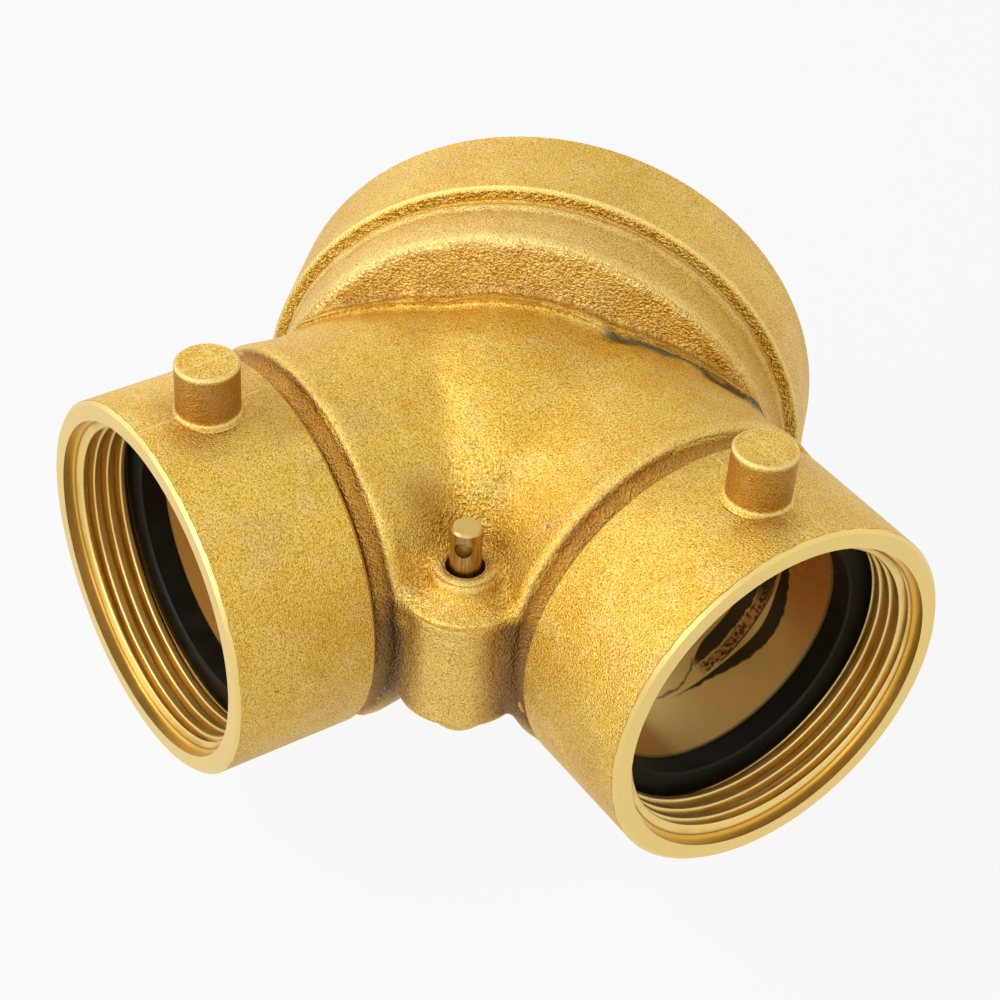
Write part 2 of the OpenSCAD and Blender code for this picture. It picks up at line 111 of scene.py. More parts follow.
def net(field, low, cell):
    """The zero surface of a field on a grid, by surface nets: one corner in each
    cell that the surface crosses, at the mean of its edge crossings, and one
    quad round each grid edge that changes sign. Returns corners and quads."""
    inside = field < 0
    shape = np.array(field.shape)
    strides = np.array([shape[1] * shape[2], shape[2], 1])
    sums = np.zeros((field.size, 3), np.float32)
    counts = np.zeros(field.size, np.int32)
    edges = []
    for axis in range(3):
        a = [slice(None)] * 3
        b = [slice(None)] * 3
        a[axis], b[axis] = slice(0, -1), slice(1, None)
        flips = inside[tuple(a)] != inside[tuple(b)]
        at = np.argwhere(flips)
        f0 = field[tuple(a)][flips]
        f1 = field[tuple(b)][flips]
        point = at.astype(np.float32)
        point[:, axis] += f0 / (f0 - f1)
        u, v = (axis + 1) % 3, (axis + 2) % 3
        keep = (at[:, u] > 0) & (at[:, v] > 0)
        at, point, f0 = at[keep], point[keep], f0[keep]
        base = at @ strides
        ring = np.stack([base, base - strides[u], base - strides[u] - strides[v], base - strides[v]], 1)
        ring[f0 > 0] = ring[f0 > 0][:, ::-1]
        for column in ring.T:
            for c in range(3):
                sums[:, c] += np.bincount(column, point[:, c], field.size).astype(np.float32)
            counts += np.bincount(column, minlength=field.size).astype(np.int32)
        edges.append(ring)
    quads = np.concatenate(edges)
    used = np.flatnonzero(counts)
    number = np.zeros(field.size, np.int64)
    number[used] = np.arange(len(used))
    corners = sums[used] / counts[used, None] * cell + low
    return corners, number[quads]


def mesh_object(name, corners, faces, smooth=True):
    """A new object at the origin from corners in millimetres and faces that are
    all quads or all triangles."""
    mesh = bpy.data.meshes.new(name)
    sides = faces.shape[1]
    mesh.vertices.add(len(corners))
    mesh.vertices.foreach_set("co", (np.asarray(corners, np.float64) * MM).ravel())
    mesh.loops.add(faces.size)
    mesh.loops.foreach_set("vertex_index", np.ascontiguousarray(faces, np.int32).ravel())
    mesh.polygons.add(len(faces))
    mesh.polygons.foreach_set("loop_start", np.arange(0, faces.size, sides, dtype=np.int32))
    mesh.polygons.foreach_set("use_smooth", np.full(len(faces), smooth))
    mesh.update(calc_edges=True)
    mesh.validate()
    made = bpy.data.objects.new(name, mesh)
    bpy.context.scene.collection.objects.link(made)
    return made


def paint(made, name, values):
    """A named value at each corner of a piece, for its material to read."""
    made.data.attributes.new(name, "FLOAT", "POINT").data.foreach_set("value", np.asarray(values, np.float32))


def bending(corners, quads):
    """How far each corner stands out from the mean of its neighbours along the
    surface normal: above zero on edges, below zero in hollows."""
    count = len(corners)
    normal = np.zeros((count, 3))
    face = np.cross(corners[quads[:, 2]] - corners[quads[:, 0]], corners[quads[:, 3]] - corners[quads[:, 1]])
    total = np.zeros((count, 3))
    links = np.zeros(count)
    for k in range(4):
        here, there = quads[:, k], quads[:, (k + 1) % 4]
        for c in range(3):
            normal[:, c] += np.bincount(here, face[:, c], count)
            total[:, c] += np.bincount(here, corners[there, c], count)
        links += np.bincount(here, minlength=count)
    normal /= np.linalg.norm(normal, axis=1, keepdims=True) + 1e-9
    return np.einsum("ij,ij->i", corners - total / links[:, None], normal)


# All in millimetres. forward is measured from the hub's rear face, and reach, s
# along an arm, bulb_forward and hinge_forward from the crossing of the axes
hub_r, collar_r, hub_step, hub_front = 66.5, 62.4, 23.9, 39.7
arm_r, bead_end, neck_end = 44.0, 62.2, 65.8
bore_r, bore_from = 39.0, 50.0  # the skin is cut away inside the arms
bulb_r, bulb_forward = 47.63, 15.0
hinge_forward = 66.0
boss_r, boss_low, boss_top = 14.4, -17.0, 12.0
pin_hole_r, pin_hole_from = 4.5, 10.0
skin_over = 0.22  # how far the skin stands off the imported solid
skin_wall = 1.6
cell = 0.9  # grid spacing of the distance field
lining_cell = 3.2  # spacing of the corners on the skin's hidden inner face


def arm_field(side, x, reach, z):
    """Distance outside one arm: a pipe whose radius swells by a millimetre
    towards its end, drops round the bead's edge and slopes down the neck."""
    s = side * x * SLANT + reach * SLANT
    e = side * x * SLANT - reach * SLANT
    r = np.sqrt(e * e + z * z)
    swell = 0.85 * np.clip((s - 49) / 10.5, 0, 1) ** 2
    pipe = np.maximum(rounded(r - arm_r - swell, s - bead_end, 1.3), -s)
    slope = (r - (arm_r - 0.7 - 0.70 * (s - bead_end + 0.4))) * 0.82
    neck = np.maximum(slope, np.maximum(s - neck_end, bead_end - 1.7 - s))
    return join(pipe, neck, 0.7), s, r


def boss_field(x, reach, z):
    """Distance outside the hinge boss: an upright barrel with a web behind it,
    a sloping roof, a round pad with a rolled edge on top and a smaller pad below."""
    pin_r = np.hypot(x, reach - hinge_forward)
    ends = np.maximum(z - boss_top, boss_low - z)
    barrel = rounded(pin_r - boss_r, ends, 0.9)
    web = np.maximum(rounded(np.abs(x) - boss_r, ends, 0.9),
                     np.maximum(reach - hinge_forward, hinge_forward - 14 - reach))
    roof = np.maximum((z - boss_top - 2.2 * np.clip((boss_r - pin_r) / 6.0, 0, 1)) * 0.94, pin_r - boss_r + 0.6)
    pad = rounded(pin_r - 8.4 + 0.29 * np.clip(z - 14.2, 0, 4), np.maximum(z - 18.0, -z), 1.2)
    foot = np.maximum(rounded(pin_r - 6.4, boss_low - 9.4 - z, 1.0), z)
    return join(join(np.minimum(barrel, web), np.maximum(roof, -z), 0.8), join(pad, foot, 0.5), 1.3), pin_r


def casting(x, y, z):
    """Distance outside the finished casting, and the measures that its wear and
    roughness follow: forward from the hub's rear face and out from its axis, the
    distances outside the chamber and the hinge boss, s along the nearer arm, out
    from the pin's axis, and the distance outside the arms' bores."""
    forward = -y
    reach = forward - CROSSING
    left, left_s, left_r = arm_field(-1, x, reach, z)
    right, right_s, right_r = arm_field(1, x, reach, z)
    bulb = np.sqrt(x * x + (reach - bulb_forward) ** 2 + z * z) - bulb_r
    chamber = join(join(left, right, 5.0), bulb, 1.0)
    around = np.sqrt(x * x + z * z)
    collar = rounded(around - collar_r, forward - hub_front, 2.4)
    bead = np.hypot(around - collar_r + 0.4, forward - hub_step - 2.2) - 1.15
    ridge = np.maximum(rounded(chamber - 1.6, forward - hub_front - 4.2, 1.5), around - collar_r)
    boss, pin_r = boss_field(x, reach, z)
    field = join(join(collar, ridge, 2.0), chamber, 2.8)
    field = join(join(field, bead, 0.8), boss, 3.2)
    bores = np.minimum(np.maximum(left_r - bore_r, bore_from - left_s),
                       np.maximum(right_r - bore_r, bore_from - right_s))
    return field, forward, around, chamber, boss, np.maximum(left_s, right_s), pin_r, bores


def roughening(forward, around, chamber, boss, s, x, z):
    """How much rougher than the rest the sand left the casting, from 0 to 1: on
    the hub's front face, its step, the root of the ridge, the cone between the
    arms and the corners beside the boss, and a little on the necks."""
    face = 0.7 * np.exp(-((forward - hub_front) / 1.3) ** 4)
    face = face * (around < collar_r - 1.0) * np.clip(chamber - 0.6, 0, 1)
    ledge = 0.45 * np.exp(-((forward - hub_step - 1.0) / 1.0) ** 2)
    neck = 0.30 * np.clip((s - 61.3) / 0.8, 0, 1)
    corner = 0.8 * np.exp(-((np.abs(boss) + np.abs(chamber)) / 3.5) ** 2)
    cone = 0.75 * np.clip((forward - 78) / 12, 0, 1) * np.exp(-(x / 9) ** 4) * (z > 14) * (boss > 1)
    root = 0.7 * np.exp(-((forward - hub_front - 2.6) / 1.8) ** 2) * np.exp(-np.maximum(chamber - 2, 0))
    return np.maximum.reduce(np.broadcast_arrays(face, ledge, neck, corner, cone, root))


low, high = np.array([-82.0, -118.6, -66.0]), np.array([82.0, -22.0, 66.0])
shape = ((high - low) / cell).astype(int)
axes = [(low[i] + cell * np.arange(shape[i])).astype(np.float32) for i in range(3)]
relief = sand_relief(tuple(shape), cell, [(5.0, 0.045), (2.4, 0.045), (1.1, 0.035)], 7)


def relief_at(points):
    """The mould's unevenness between grid points, by weighing the eight round it."""
    at = (points - low) / cell
    base = np.clip(np.floor(at).astype(int), 0, shape - 2)
    part = at - base
    total = np.zeros(len(points))
    for corner in np.ndindex(2, 2, 2):
        weight = np.prod(np.where(corner, part, 1 - part), axis=1)
        index = base + corner
        total += weight * relief[index[:, 0], index[:, 1], index[:, 2]]
    return total


def skin_field(x, y, z, bumps):
    """The casting's distance, raised by the skin's height and the mould's
    unevenness, turned into a shell and cut at the hub's step, inside the arms
    and round the pin's hole."""
    field, forward, around, chamber, boss, s, pin_r, bores = casting(x, y, z)
    rough = roughening(forward, around, chamber, boss, s, x, z)
    field = field - skin_over - np.clip(bumps * (1 + rough), -0.18, 0.34)
    field = np.abs(field + skin_wall / 2) - skin_wall / 2
    field = np.maximum(field, hub_step + 0.5 - forward)
    field = np.maximum(np.maximum(field, s - neck_end), -bores)
    return np.maximum(field, -np.maximum(pin_r - pin_hole_r - 0.1, pin_hole_from - z))


grid = skin_field(axes[0][:, None, None], axes[1][None, :, None], axes[2][None, None, :], relief)
corners, quads = net(grid.astype(np.float32), low, cell)
probe = 0.02  # step for the field's slope, by which four Newton steps settle each corner
for _ in range(4):
    bumps = relief_at(corners)
    here = skin_field(*corners.T, bumps)
    slope = np.stack([skin_field(*(corners + step).T, bumps) - here for step in np.eye(3) * probe], 1) / probe
    pull = here / np.maximum((slope ** 2).sum(1), 0.25)
    corners = corners - np.clip(pull, -0.3, 0.3)[:, None] * slope
bend = bending(corners, quads)


def thin_lining(corners, quads, hidden, size):
    """Triangles of a net in which the hidden corners that share a cube of a given
    size are drawn together to their mean. Also returns which corners stay."""
    key = np.where(hidden[:, None], np.floor(corners / size), np.inf)
    key[~hidden, 0] = np.flatnonzero(~hidden)
    key[~hidden, 1:] = 1e9
    _, first, merged = np.unique(key, axis=0, return_index=True, return_inverse=True)
    merged = merged.ravel()
    count = np.bincount(merged)
    middle = np.stack([np.bincount(merged, corners[:, c]) / count for c in range(3)], 1)
    faces = merged[np.concatenate([quads[:, [0, 1, 2]], quads[:, [0, 2, 3]]])]
    whole = (faces[:, 0] != faces[:, 1]) & (faces[:, 1] != faces[:, 2]) & (faces[:, 0] != faces[:, 2])
    return middle, faces[whole], first


hidden = casting(*corners.T)[0] < skin_over - 0.75 * skin_wall
corners, faces, kept = thin_lining(corners, quads, hidden, lining_cell)
bend = bend[kept]
skin = mesh_object("body_casting", corners, faces)
_, forward, around, chamber, boss, s, _, _ = casting(*corners.T)
x, z = corners[:, 0], corners[:, 2]
crotch = np.abs(boss) + np.abs(chamber)

# Edge: worn corners, less on the beads. Hollow: painted shade in brown, in the
# inner corners, on the necks, beside and behind the pin, in the pocket by the
# boss and, lightly, over the right side of the hub
paint(skin, "edge", np.clip(bend * 9 - 0.15, 0, 1) * np.where(s > 59, 0.45, 1))
neck = np.clip((s - 61.9) / 0.6, 0, 1) * (1.0 - 0.45 * np.clip((s - 63.2) / 2.4, 0, 1))
beside = np.exp(-(crotch / 9.0) ** 2) * np.clip((12.5 - z) / 2, 0, 1)
beside *= 0.95 * np.clip(np.maximum((x - 6.5) / 5, (-10.5 - x) / 3), 0, 1)
behind_pin = 0.8 * np.exp(-(((x + 11) / 5) ** 2 + ((forward - 95) / 5) ** 2)) * (z > 8)
pocket = np.exp(-(np.maximum(boss, 0) / 8.0) ** 2) * np.clip((s - 60) / 2, 0, 1) * np.clip((13 - z) / 3, 0, 1)
to_right = np.clip((x - 5) / 40, 0, 1)
right_hub_shade = 0.2 * to_right * (forward < hub_front + 2)
hollow = np.clip(-bend * 7 - 0.15, 0, 0.8) * np.where(forward < 27.5, 0.5, 1)
paint(skin, "hollow", np.maximum.reduce([hollow, neck, beside, behind_pin, pocket, right_hub_shade]))

# Pale: painted sheen, light brass on the hub, fading to the right, and half as
# much paler tone on the front of the boss. Coarse: where the sand left the casting rougher
hub_sheen = np.clip(hub_front + 1.5 - forward, 0, 1) * (1 - 0.9 * to_right)
pale_boss = 0.5 * np.clip((forward - hinge_forward - CROSSING - 9) / 3, 0, 1) * (boss < 0.8)
paint(skin, "pale", np.maximum(hub_sheen, pale_boss))
paint(skin, "coarse", roughening(forward, around, chamber, boss, s, x, z))

# Stain: a ragged grey line where the right arm springs from the hub, and painted
# shade, near black, in the corners beside the boss, most of it on the left
turned = np.degrees(np.arctan2(x, z))
ragged = 7.2 * relief_at(corners)
line = np.exp(-((forward - hub_front - 5.5 + 0.012 * (turned - 22) + ragged) / 1.6) ** 4) * (chamber < 2.6)
line *= np.clip((turned - 21) / 4, 0, 1) * np.clip((80 - turned) / 6, 0, 1) * (boss > 5)
corner_shade = 0.75 * pocket * np.clip((-9 - x) / 3, 0, 1) * (z < 6)
paint(skin, "stain_and_shade", np.maximum.reduce([line, 0.6 * beside ** 1.5, corner_shade]))
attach(skin, "body")


def node(tree, kind, settings=None, **inputs):
    """Adds a shader node. Settings are its own fields, and each input is set by
    name, or by number as i0, i1, with a value or another node's output socket."""
    made = tree.nodes.new(kind)
    for field_name, value in (settings or {}).items():
        setattr(made, field_name, value)
    for key, value in inputs.items():
        spot = int(key[1:]) if key[1:].isdigit() and key[0] == "i" else key.replace("_", " ")
        socket = made.inputs[spot]
        if isinstance(value, bpy.types.NodeSocket):
            tree.links.new(value, socket)
        else:
            socket.default_value = value
    return made


def group(name, wants, gives):
    """An empty shader node group with its named sockets."""
    tree = bpy.data.node_groups.new(name, "ShaderNodeTree")
    for label, kind, value in wants:
        socket = tree.interface.new_socket(label, in_out="INPUT", socket_type="NodeSocket" + kind)
        if value is not None:
            socket.default_value = value
    for label, kind in gives:
        tree.interface.new_socket(label, in_out="OUTPUT", socket_type="NodeSocket" + kind)
    return tree, tree.nodes.new("NodeGroupInput").outputs, tree.nodes.new("NodeGroupOutput").inputs


def maths(tree, operation, a, b=0.0, c=0.0):
    """One number from up to three, by the named operation."""
    return node(tree, "ShaderNodeMath", {"operation": operation}, i0=a, i1=b, i2=c).outputs[0]


def ramp(tree, value, low_at, high_at):
    """0 at low_at, 1 at high_at and a smooth step between."""
    return node(tree, "ShaderNodeMapRange", {"interpolation_type": "SMOOTHSTEP"},
                i0=value, i1=low_at, i2=high_at, i3=0.0, i4=1.0).outputs[0]


def near(tree, value, middle, width):
    """1 where a value is at its middle, falling to 0 a width away."""
    off = maths(tree, "ABSOLUTE", maths(tree, "SUBTRACT", value, middle))
    return ramp(tree, off, width, 0.0)


def most(tree, first, *others):
    """The largest of several masks."""
    for other in others:
        first = maths(tree, "MAXIMUM", first, other)
    return first


def both(tree, first, *others):
    """Several masks or numbers multiplied together."""
    for other in others:
        first = maths(tree, "MULTIPLY", first, other)
    return first


def blend(tree, factor, a, b):
    """Colour a turned towards colour b by a factor."""
    made = node(tree, "ShaderNodeMix", {"data_type": "RGBA"})
    for index, value in ((0, factor), (6, a), (7, b)):
        if isinstance(value, bpy.types.NodeSocket):
            tree.links.new(value, made.inputs[index])
        else:
            made.inputs[index].default_value = value
    return made.outputs[2]


def noise(tree, vector, scale, detail=2.0, roughness=0.55):
    """Fractal noise about one half."""
    return node(tree, "ShaderNodeTexNoise", None, Vector=vector, Scale=scale, Detail=detail,
                Roughness=roughness).outputs[0]


GOLD = (0.77, 0.505, 0.084, 1)
DEEP_GOLD = (0.70, 0.418, 0.053, 1)
STRAW = (0.81, 0.605, 0.175, 1)
PALE = (0.86, 0.68, 0.29, 1)
CREAM = (0.82, 0.615, 0.25, 1)  # painted sheen of the hub, and paler tone on the boss
TARNISH = (0.56, 0.34, 0.10, 1)
TURNED = (0.88, 0.66, 0.25, 1)  # bare metal from the lathe
DARK_GRAIN = (0.42, 0.215, 0.012, 1)
BROWN = (0.30, 0.102, 0.017, 1)
SOOT_AND_SHADE = (0.060, 0.056, 0.046, 1)
CAST_BUMP = 0.00026  # metres of bump for a height of 1 in the cast grain

# Blasted brass. The shot leaves fine dents, bright on their rims and dull in
# their floors. Coarse adds the orange peel of unblasted sand, Edge the shine of
# worn corners and painted highlights on the lugs, Hollow a brown for painted shade
# and darker patches, Pale a painted sheen and paler tone, and Bare is turned metal without dents.
brass_tree, take, put = group(
    "blasted_brass",
    [("Vector", "Vector", None), ("Coarse", "Float", 0.0), ("Edge", "Float", 0.0), ("Hollow", "Float", 0.0),
     ("Bare", "Float", 0.0), ("Pale", "Float", 0.0)],
    [("Color", "Color"), ("Roughness", "Float"), ("Height", "Float")],
)
fine = noise(brass_tree, take["Vector"], 2650.0, 1.0, 0.5)
peel = noise(brass_tree, take["Vector"], 1450.0, 1.5, 0.5)
cloud = noise(brass_tree, take["Vector"], 110.0, 4.0, 0.65)
broad = noise(brass_tree, take["Vector"], 32.0, 3.0)
cells = node(brass_tree, "ShaderNodeTexVoronoi", None, Vector=take["Vector"], Scale=150.0)
pick = node(brass_tree, "ShaderNodeSeparateColor", None, Color=cells.outputs["Color"]).outputs[0]
rare = maths(brass_tree, "GREATER_THAN", pick, 0.86)
pinhole = both(brass_tree, rare, ramp(brass_tree, cells.outputs["Distance"], 0.07, 0.03))
blasted = maths(brass_tree, "SUBTRACT", 1.0, take["Bare"])
colour = blend(brass_tree, ramp(brass_tree, broad, 0.38, 0.62), GOLD, DEEP_GOLD)
colour = blend(brass_tree, both(brass_tree, ramp(brass_tree, cloud, 0.44, 0.68), 0.6), colour, STRAW)
shade = ramp(brass_tree, noise(brass_tree, take["Vector"], 55.0, 4.0, 0.6), 0.50, 0.72)
colour = blend(brass_tree, both(brass_tree, shade, 0.45), colour, TARNISH)
colour = blend(brass_tree, both(brass_tree, take["Pale"], 0.55), colour, CREAM)
colour = blend(brass_tree, both(brass_tree, take["Coarse"], 0.06), colour, DARK_GRAIN)
grit = maths(brass_tree, "MULTIPLY_ADD", peel, both(brass_tree, take["Coarse"], 1.2), fine)
mean_grit = maths(brass_tree, "MULTIPLY_ADD", take["Coarse"], 0.6, 0.5)
above_mean = maths(brass_tree, "SUBTRACT", grit, mean_grit)
dents = ramp(brass_tree, above_mean, 0.02, -0.17)
rims = ramp(brass_tree, above_mean, 0.02, 0.19)
colour = blend(brass_tree, both(brass_tree, dents, blasted, 0.80), colour, DARK_GRAIN)
colour = blend(brass_tree, both(brass_tree, rims, blasted, 0.60), colour, PALE)
colour = blend(brass_tree, both(brass_tree, take["Hollow"], 0.75), colour, BROWN)
colour = blend(brass_tree, both(brass_tree, take["Edge"], 0.6), colour, PALE)
colour = blend(brass_tree, both(brass_tree, pinhole, blasted, 0.9), colour, BROWN)
colour = blend(brass_tree, both(brass_tree, take["Bare"], 0.8), colour, TURNED)
brass_tree.links.new(colour, put["Color"])
rough = maths(brass_tree, "MULTIPLY_ADD", cloud, 0.14, 0.40)
brass_tree.links.new(maths(brass_tree, "MULTIPLY_ADD", take["Bare"], -0.14, rough), put["Roughness"])
height = maths(brass_tree, "MULTIPLY_ADD", peel, maths(brass_tree, "MULTIPLY_ADD", take["Coarse"], 3.2, 0.5), fine)
height = maths(brass_tree, "MULTIPLY_ADD", cloud, 1.6, height)
brass_tree.links.new(both(brass_tree, height, maths(brass_tree, "MULTIPLY_ADD", blasted, 0.9, 0.1)),
                     put["Height"])

# Where a point lies along an arm: S out along it, E across it away from the
# crotch, Z up and R out from its axis, all in millimetres. Side is -1 on the left.
arm_tree, take, put = group(
    "along_arm",
    [("Vector", "Vector", None), ("Side", "Float", 1.0)],
    [("S", "Float"), ("E", "Float"), ("R", "Float"), ("Z", "Float")],
)
xyz = node(arm_tree, "ShaderNodeSeparateXYZ", None, Vector=take["Vector"]).outputs
across = both(arm_tree, xyz[0], take["Side"], SLANT / MM)
ahead = maths(arm_tree, "MULTIPLY_ADD", xyz[1], -SLANT / MM, -CROSSING * SLANT)
out_along = maths(arm_tree, "ADD", across, ahead)
off_axis = maths(arm_tree, "SUBTRACT", across, ahead)
upward = both(arm_tree, xyz[2], 1 / MM)
squares = maths(arm_tree, "MULTIPLY_ADD", upward, upward, both(arm_tree, off_axis, off_axis))
for value, label in ((out_along, "S"), (off_axis, "E"), (maths(arm_tree, "SQRT", squares), "R"), (upward, "Z")):
    arm_tree.links.new(value, put[label])


def use(tree, group_tree, **inputs):
    """Places a shared group in a material."""
    made = tree.nodes.new("ShaderNodeGroup")
    made.node_tree = group_tree
    for key, value in inputs.items():
        if isinstance(value, bpy.types.NodeSocket):
            tree.links.new(value, made.inputs[key])
        else:
            made.inputs[key].default_value = value
    return made.outputs


def material(name, metallic=1.0):
    """A material, its tree, its Principled shader and where a point lies on the piece."""
    made = bpy.data.materials.new(name)
    made.use_nodes = True
    tree = made.node_tree
    shader = tree.nodes["Principled BSDF"]
    shader.inputs["Metallic"].default_value = metallic
    return made, tree, shader, node(tree, "ShaderNodeTexCoord").outputs["Object"]


def finish_with(tree, shader, colour, roughness, height, distance):
    """Wires a colour, a roughness and a bump of a given depth into a shader."""
    tree.links.new(colour, shader.inputs["Base Color"])
    tree.links.new(roughness, shader.inputs["Roughness"])
    bump = node(tree, "ShaderNodeBump", None, Strength=0.9, Distance=distance, Height=height)
    tree.links.new(bump.outputs[0], shader.inputs["Normal"])


def read(tree, name):
    """A value painted on the piece."""
    return node(tree, "ShaderNodeAttribute", {"attribute_name": name}).outputs["Fac"]


cast_brass, tree, shader, place = material("cast_brass")
brass = use(tree, brass_tree, Vector=place, Coarse=read(tree, "coarse"), Edge=read(tree, "edge"),
            Hollow=read(tree, "hollow"), Pale=read(tree, "pale"))
# The stain and shade attribute darkens towards near black: a grey stain line, and painted shade in the corners beside
# the boss
colour = blend(tree, both(tree, read(tree, "stain_and_shade"), 0.9), brass["Color"], SOOT_AND_SHADE)
finish_with(tree, shader, colour, brass["Roughness"], brass["Height"], CAST_BUMP)
skin.data.materials.append(cast_brass)

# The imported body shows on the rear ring, the step and the bores
body_brass, tree, shader, place = material("body_brass")
xyz = node(tree, "ShaderNodeSeparateXYZ", None, Vector=place).outputs
forward = both(tree, xyz[1], -1 / MM)
above = both(tree, xyz[2], 1 / MM)
aside = both(tree, xyz[0], 1 / MM)
around = maths(tree, "SQRT", maths(tree, "MULTIPLY_ADD", above, above, both(tree, aside, aside)))
ring_edge = both(tree, near(tree, around, hub_r - 0.3, 0.8), near(tree, forward, hub_step - 0.3, 0.9))
ledge = both(tree, near(tree, forward, hub_step, 0.35), ramp(tree, around, hub_r - 0.5, hub_r - 1.2))
corner = both(tree, near(tree, around, collar_r + 0.3, 1.2), near(tree, forward, hub_step + 0.6, 1.4))
arms = [use(tree, arm_tree, Vector=place, Side=side) for side in (-1, 1)]
throats = [both(tree, ramp(tree, arm["R"], 33.0, 32.5), ramp(tree, arm["S"], 40.0, 44.0)) for arm in arms]
tails = [ramp(tree, arm["S"], 66.3, 66.8) for arm in arms]
bores = most(tree, *throats, *tails)
rear = ramp(tree, forward, 0.5, 0.1)
# Painted shade: brown in the inner corner of the hub's step, and a little on the step's face
dull = most(tree, both(tree, corner, 0.5), both(tree, ledge, 0.12))
brass = use(tree, brass_tree, Vector=place, Coarse=ledge, Edge=ring_edge, Hollow=dull, Bare=most(tree, bores, rear))


def bell(tree, value, middle, width):
    """A Gaussian bell about a middle value."""
    off = maths(tree, "DIVIDE", maths(tree, "SUBTRACT", value, middle), width)
    return maths(tree, "EXPONENT", both(tree, off, off, -1.0))


def past(tree, value, edge, soft):
    """0 below an edge, and 1 from a soft step past it."""
    return ramp(tree, maths(tree, "SUBTRACT", value, edge), 0.0, soft)


# The right bore is painted bright on its lower wall, as painted light, turning
# to brown at its upper side, partly tarnish and partly painted shade, and its far
# end carries near-black patches round a bright blade and a coarse brass band.
# turn is the angle round the bore in degrees, from its lowest line outwards
arm = arms[1]
turn = both(tree, maths(tree, "ARCTAN2", arm["E"], both(tree, arm["Z"], -1.0)), 180 / np.pi)
ragged = maths(tree, "MULTIPLY_ADD", noise(tree, place, 420.0, 4.0, 0.65), 2.4, -1.2)
depth = maths(tree, "ADD", arm["S"], ragged)
black_edge = maths(tree, "MULTIPLY_ADD", bell(tree, turn, 56.0, 30.0), 6.2, 63.6)
blade_edge = maths(tree, "MULTIPLY_ADD", bell(tree, turn, 54.0, 17.0), 1.8, 63.4)
slant_edge = maths(tree, "MULTIPLY_ADD", ramp(tree, turn, 8.0, 35.0), -7.0, 62.0)
crescent = both(tree, past(tree, black_edge, depth, 0.7), past(tree, arm["S"], blade_edge, 0.3),
                ramp(tree, turn, 2.0, 12.0))
blade = both(tree, past(tree, blade_edge, arm["S"], 0.3), past(tree, arm["S"], 63.3, 0.3))
gap = both(tree, near(tree, arm["S"], 63.1, 0.5), ramp(tree, turn, 28.0, 34.0), ramp(tree, turn, 75.0, 68.0))
band = both(tree, past(tree, 63.0, depth, 0.4), past(tree, depth, 59.5, 0.8), ramp(tree, turn, 20.0, 27.0))
patch = both(tree, past(tree, 59.8, depth, 0.6), past(tree, arm["S"], slant_edge, 0.5), ramp(tree, turn, 20.0, 26.0))
line = both(tree, near(tree, depth, slant_edge, 0.7), ramp(tree, turn, 26.0, 22.0), ramp(tree, turn, -4.0, 2.0), 0.8)
upper = both(tree, past(tree, 62.9, arm["S"], 0.3), ramp(tree, turn, 60.0, 68.0))
in_right = both(tree, throats[1], ramp(tree, turn, -20.0, -10.0), ramp(tree, turn, 120.0, 105.0))
speckle = ramp(tree, noise(tree, place, 900.0, 3.0, 0.6), 0.42, 0.55)
bore_light_and_tarnish = blend(tree, ramp(tree, turn, 25.0, 95.0), (0.95, 0.72, 0.27, 1), (0.68, 0.26, 0.05, 1))
scratch_map = node(tree, "ShaderNodeVectorMath", {"operation": "MULTIPLY"}, i0=place, i1=(0.12, 0.12, 1.0)).outputs[0]
scratch = ramp(tree, noise(tree, scratch_map, 2600.0, 2.0), 0.56, 0.66)
bore_light_and_tarnish = blend(tree, both(tree, scratch, 0.30), bore_light_and_tarnish, PALE)
mottled = blend(tree, speckle, (0.10, 0.05, 0.02, 1), (0.62, 0.36, 0.12, 1))
colour = blend(tree, bores, brass["Color"], (0.76, 0.47, 0.13, 1))
colour = blend(tree, in_right, colour, bore_light_and_tarnish)
colour = blend(tree, both(tree, in_right, blade), colour, (0.84, 0.66, 0.28, 1))
colour = blend(tree, both(tree, in_right, band), colour, mottled)
near_black = most(tree, crescent, gap, patch, line, both(tree, upper, 0.85))
colour = blend(tree, both(tree, in_right, near_black, 0.97), colour, (0.022, 0.017, 0.012, 1))
tree.links.new(maths(tree, "MULTIPLY_ADD", bores, -0.55, 1.0), shader.inputs["Metallic"])
finish_with(tree, shader, colour, brass["Roughness"], brass["Height"], CAST_BUMP)
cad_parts["body"].data.materials[0] = body_brass

# ---- Swivels ----------------------------------------------------------------
# Two cast and turned brass rings that spin on the arms' tails. Their outsides
# are blasted, while the rim and the bore are bare from the lathe. A faint mould
# line runs along the top of each.

# Millimetres: the lug's place along the arm, radius and top, and the ring's
# radius and rim. The right ring rests turned a little
lug_s, lug_r, lug_top = 84.0, 7.2, 56.79
swivel_r, rim_s = 44.44, 102.0
right_rests_at = np.radians(2.0)

